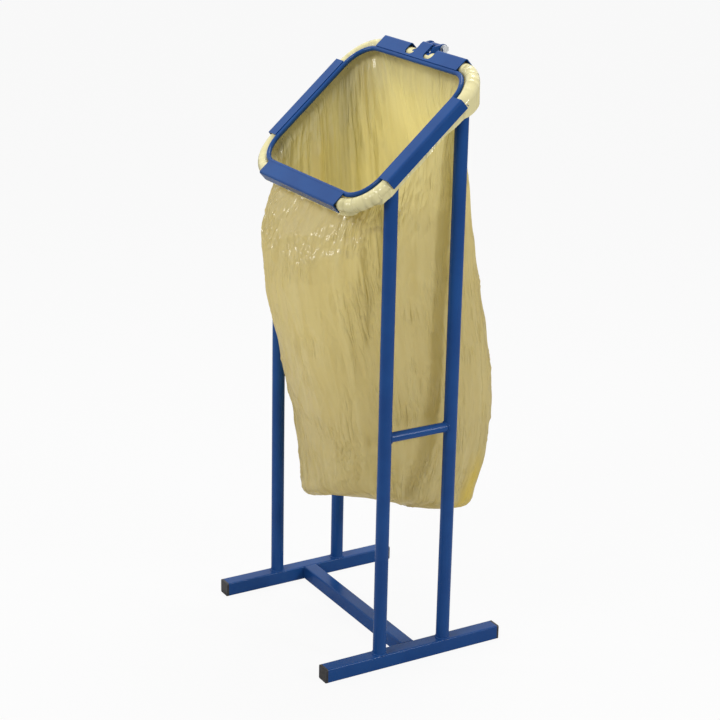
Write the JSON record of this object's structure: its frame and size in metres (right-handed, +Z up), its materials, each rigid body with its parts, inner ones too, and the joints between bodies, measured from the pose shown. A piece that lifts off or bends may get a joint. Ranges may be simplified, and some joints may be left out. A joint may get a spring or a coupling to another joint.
{
  "type": "recycling sack holder",
  "caption": "Floor-standing tube frame that holds an open waste sack under a slanted mouth ring, with a hinged clamp ring over the sack's rim.",
  "frame": {"origin": "on the floor, on the underside of the crossbar, midway between the feet and halfway along them", "axes": "+Z up; +X to the right; -Y towards the low front of the mouth, the hinge is at +Y"},
  "size_m": [0.4722, 0.4668, 1.2084],
  "materials": {
    "frame": "satin powder coat",
    "plug": "moulded",
    "zinc": "zinc plated",
    "film": "thin film"
  },
  "bodies": {
    "stand": {"foot_left": "frame", "foot_right": "frame", "crossbar": "frame", "foot_plug_front_left": "plug", "foot_plug_front_right": "plug", "foot_plug_rear_left": "plug", "foot_plug_rear_right": "plug", "upright_front_left": "frame", "upright_front_right": "frame", "upright_rear_left": "frame", "upright_rear_right": "frame", "spacer_left": "frame", "spacer_right": "frame", "mouth_ring": "frame", "hinge_lug_left": "frame", "hinge_lug_right": "frame", "hinge_bolt": "zinc", "hinge_washer_left": "zinc", "hinge_washer_right": "zinc", "hinge_nut": "zinc", "sack": "film"},
    "clamp": {"clamp_ring": "frame", "clamp_plate_left": "frame", "clamp_plate_right": "frame", "clamp_plate_front": "frame", "clamp_plate_rear": "frame", "hinge_sleeve": "frame"}
  },
  "joints": [
    {"name": "clamp_hinge", "type": "hinge", "parent": "stand", "child": "clamp", "pos_m": [0, 0.15493, 1.19915], "axis": [-1, 0, 0], "range_deg": [0, 140]}
  ]
}
